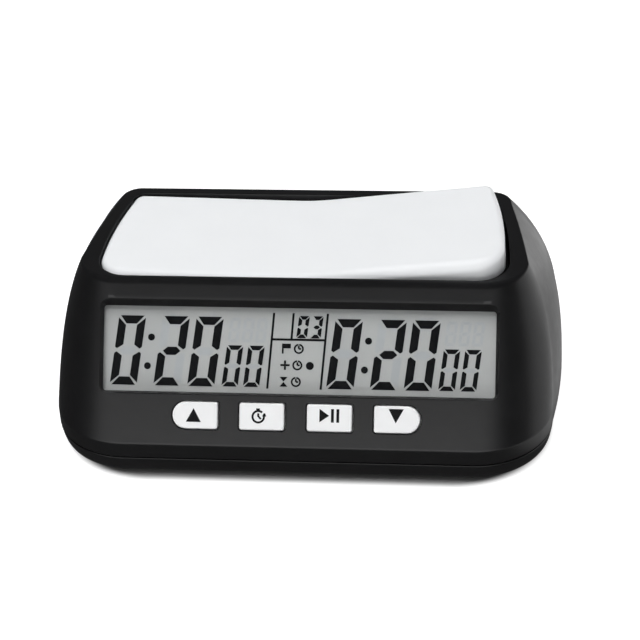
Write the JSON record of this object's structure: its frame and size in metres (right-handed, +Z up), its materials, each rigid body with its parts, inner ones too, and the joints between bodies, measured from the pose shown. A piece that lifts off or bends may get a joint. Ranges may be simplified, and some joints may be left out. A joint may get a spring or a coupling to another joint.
{
  "type": "chess clock",
  "caption": "Compact digital chess clock: black two-part plastic housing, sloped display with a row of keys, and a white V-shaped rocker on top.",
  "frame": {"origin": "middle of the footprint, on the surface that the feet rest on", "axes": "+X to the right seen from the front, +Y to the back, +Z up"},
  "size_m": [0.1554, 0.0904, 0.0582],
  "materials": {
    "housing": "fine spark-textured ABS, satin",
    "rocker": "smooth white ABS, satin",
    "key": "smooth white ABS, satin, black printed symbols",
    "window": "clear acrylic pane",
    "lcd": "grey reflective display glass",
    "steel": "nickel-plated steel",
    "rubber": "matte",
    "silicone": "layered silicone connector strip",
    "circuit_board": "green solder mask on glass-fibre board",
    "epoxy": "black potting resin",
    "switch_plastic": "moulded black",
    "battery": "printed sleeve on a steel can",
    "wire_red": "PVC insulation",
    "wire_black": "PVC insulation",
    "cable": "PVC insulation"
  },
  "bodies": {
    "root": {"upper_housing": "housing", "lower_housing": "housing", "rocker_pin": "steel", "display_window": "window", "lcd_glass": "lcd", "zebra_strip": "silicone", "main_board": "circuit_board", "controller_chip": "epoxy", "buzzer": "switch_plastic", "battery_cell": "battery", "battery_contact": "steel", "battery_spring": "steel", "power_switch": "steel", "switch_board": "circuit_board", "left_rocker_switch": "switch_plastic", "right_rocker_switch": "switch_plastic", "battery_wire_black": "wire_black", "battery_wire_red": "wire_red", "switch_cable": "cable", "switch_board_screw_left": "steel", "switch_board_screw_right": "steel", "up_key_switch": "switch_plastic", "timer_key_switch": "switch_plastic", "pause_key_switch": "switch_plastic", "down_key_switch": "switch_plastic", "foot_front_left": "rubber", "housing_screw_front_left": "steel", "foot_front_right": "rubber", "housing_screw_front_right": "steel", "foot_back_left": "rubber", "housing_screw_back_left": "steel", "foot_back_right": "rubber", "housing_screw_back_right": "steel", "board_screw_lower_left": "steel", "board_screw_lower_right": "steel", "board_screw_upper_left": "steel", "board_screw_upper_right": "steel"},
    "rocker": {"rocker": "rocker"},
    "battery_door": {"battery_door": "housing"},
    "power_knob": {"power_knob": "switch_plastic"},
    "left_rocker_plunger": {"left_rocker_plunger": "switch_plastic"},
    "right_rocker_plunger": {"right_rocker_plunger": "switch_plastic"},
    "up_key": {"up_key": "key"},
    "up_key_plunger": {"up_key_plunger": "switch_plastic"},
    "timer_key": {"timer_key": "key"},
    "timer_key_plunger": {"timer_key_plunger": "switch_plastic"},
    "pause_key": {"pause_key": "key"},
    "pause_key_plunger": {"pause_key_plunger": "switch_plastic"},
    "down_key": {"down_key": "key"},
    "down_key_plunger": {"down_key_plunger": "switch_plastic"}
  },
  "joints": [
    {"name": "rocker_swing", "type": "hinge", "parent": "root", "child": "rocker", "pos_m": [0, 0.009, 0.0446], "axis": [0, 1, 0], "range_deg": [0, 5.5]},
    {"name": "battery_door_hinge", "type": "hinge", "parent": "root", "child": "battery_door", "pos_m": [0, 0.0273, 0.002], "axis": [1, 0, 0], "range_deg": [0, 80]},
    {"name": "power_slide", "type": "slide", "parent": "root", "child": "power_knob", "axis": [1, 0, 0], "range_m": [0, 0.004]},
    {"name": "up_key_press", "type": "slide", "parent": "root", "child": "up_key", "axis": [0, 0.809, -0.5878], "range_m": [0, 0.0005], "stiffness_N_per_m": 300, "springref_m": -0.001},
    {"name": "up_plunger_press", "type": "slide", "parent": "root", "child": "up_key_plunger", "axis": [0, 0.809, -0.5878], "range_m": [0, 0.00025]},
    {"name": "timer_key_press", "type": "slide", "parent": "root", "child": "timer_key", "axis": [0, 0.809, -0.5878], "range_m": [0, 0.0005], "stiffness_N_per_m": 300, "springref_m": -0.001},
    {"name": "timer_plunger_press", "type": "slide", "parent": "root", "child": "timer_key_plunger", "axis": [0, 0.809, -0.5878], "range_m": [0, 0.00025]},
    {"name": "pause_key_press", "type": "slide", "parent": "root", "child": "pause_key", "axis": [0, 0.809, -0.5878], "range_m": [0, 0.0005], "stiffness_N_per_m": 300, "springref_m": -0.001},
    {"name": "pause_plunger_press", "type": "slide", "parent": "root", "child": "pause_key_plunger", "axis": [0, 0.809, -0.5878], "range_m": [0, 0.00025]},
    {"name": "down_key_press", "type": "slide", "parent": "root", "child": "down_key", "axis": [0, 0.809, -0.5878], "range_m": [0, 0.0005], "stiffness_N_per_m": 300, "springref_m": -0.001},
    {"name": "down_plunger_press", "type": "slide", "parent": "root", "child": "down_key_plunger", "axis": [0, 0.809, -0.5878], "range_m": [0, 0.00025]},
    {"name": "left_plunger_release", "type": "slide", "parent": "root", "child": "left_rocker_plunger", "axis": [0, 0, 1], "range_m": [0, 0.00025]},
    {"name": "right_plunger_press", "type": "slide", "parent": "root", "child": "right_rocker_plunger", "axis": [0, 0, -1], "range_m": [0, 0.00025]}
  ],
  "couplings": [
    {"joint": "up_plunger_press", "follows": "up_key_press", "ratio": 0.5},
    {"joint": "timer_plunger_press", "follows": "timer_key_press", "ratio": 0.5},
    {"joint": "pause_plunger_press", "follows": "pause_key_press", "ratio": 0.5},
    {"joint": "down_plunger_press", "follows": "down_key_press", "ratio": 0.5},
    {"joint": "left_plunger_release", "follows": "rocker_swing", "m_per_rad": 0.0026},
    {"joint": "right_plunger_press", "follows": "rocker_swing", "m_per_rad": 0.0026}
  ]
}
